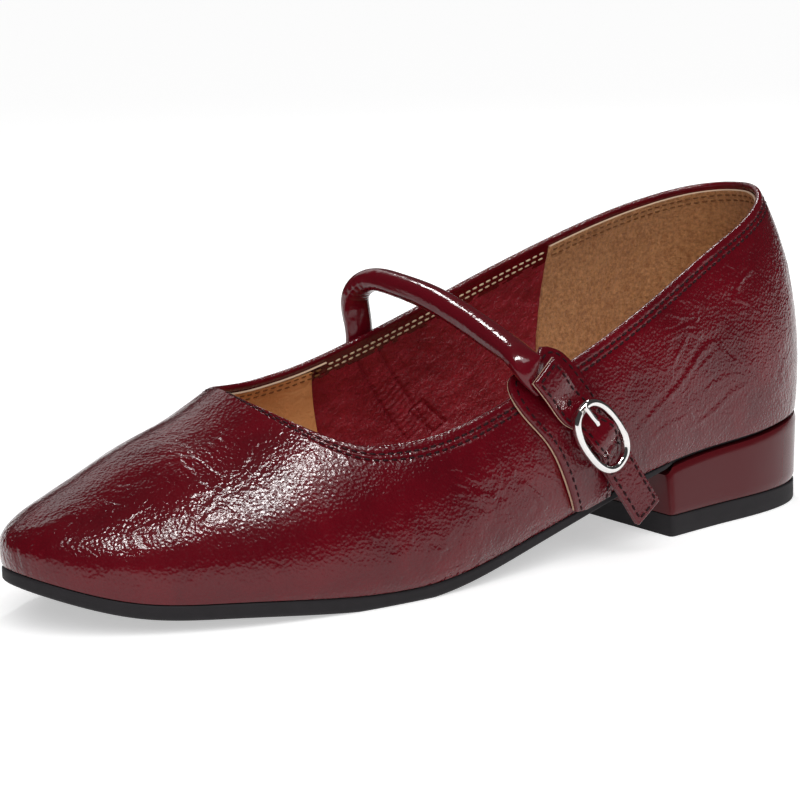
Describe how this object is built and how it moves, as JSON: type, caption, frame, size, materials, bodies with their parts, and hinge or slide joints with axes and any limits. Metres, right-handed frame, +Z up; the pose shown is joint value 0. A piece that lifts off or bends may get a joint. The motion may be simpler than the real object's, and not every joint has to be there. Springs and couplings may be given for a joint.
{
  "type": "mary jane shoe",
  "caption": "Left low-heeled mary jane in crinkled patent leather, with a soft square toe, a rolled instep strap, a pin buckle and a block heel.",
  "frame": {"origin": "middle of the bottom of the whole shoe's box, on the floor that the heel and forefoot stand on", "axes": "+X from heel to toe, +Y to the lateral side with the buckle, +Z up"},
  "size_m": [0.246, 0.0844, 0.0901],
  "materials": {
    "patent": "glossy crinkled patent",
    "rolled_strap": "glossy smooth patent",
    "heel_cover": "gloss lacquer",
    "sole_rubber": "matte black",
    "insole_leather": "matte tan",
    "vamp_lining": "smooth tan",
    "quarter_lining": "soft napped burgundy",
    "heel_grip": "matte tan suede",
    "thread_dark": "matte dark thread",
    "thread_cream": "matte cream thread",
    "raw_edge": "raw cut edge",
    "buckle_metal": "polished"
  },
  "bodies": {
    "root": {"outsole": "sole_rubber", "heel_block": "heel_cover", "top_piece": "sole_rubber", "insole": "insole_leather", "upper": "patent", "strap_tab": "patent", "instep_strap": "rolled_strap", "strap_end": "patent", "buckle_ring": "buckle_metal", "buckle_bar": "buckle_metal", "buckle_prong": "buckle_metal"}
  },
  "joints": []
}
